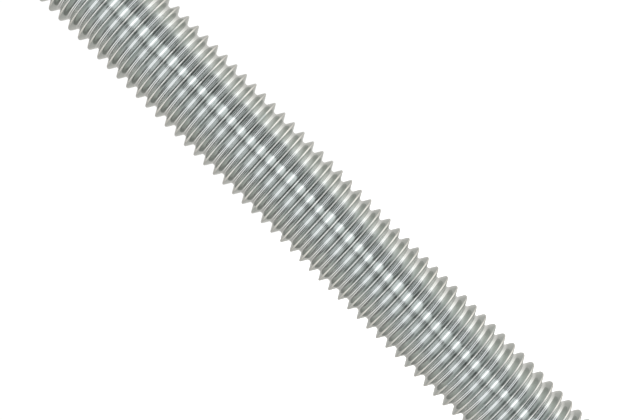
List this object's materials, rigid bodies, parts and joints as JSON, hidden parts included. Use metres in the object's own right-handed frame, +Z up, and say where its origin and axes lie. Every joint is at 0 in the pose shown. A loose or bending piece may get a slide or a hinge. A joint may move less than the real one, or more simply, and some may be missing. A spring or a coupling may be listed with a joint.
{
  "type": "threaded rod",
  "caption": "Straight steel rod with a right-hand coarse metric screw thread along its whole length and chamfered flat ends, bright zinc plated.",
  "frame": {"origin": "centre of the lower end face, which the rod stands on", "axes": "+Z up along the rod's axis, from the lower end face to the upper one; the rod looks the same from every side, and its thread climbs towards +Z as it turns from +X to +Y (right hand)"},
  "size_m": [0.014, 0.014, 0.12],
  "materials": {
    "zinc_plated_steel": "rolled steel thread, bright zinc plated, with a thin clear passivated film"
  },
  "bodies": {
    "root": {"threaded_rod": "zinc_plated_steel"}
  },
  "joints": []
}
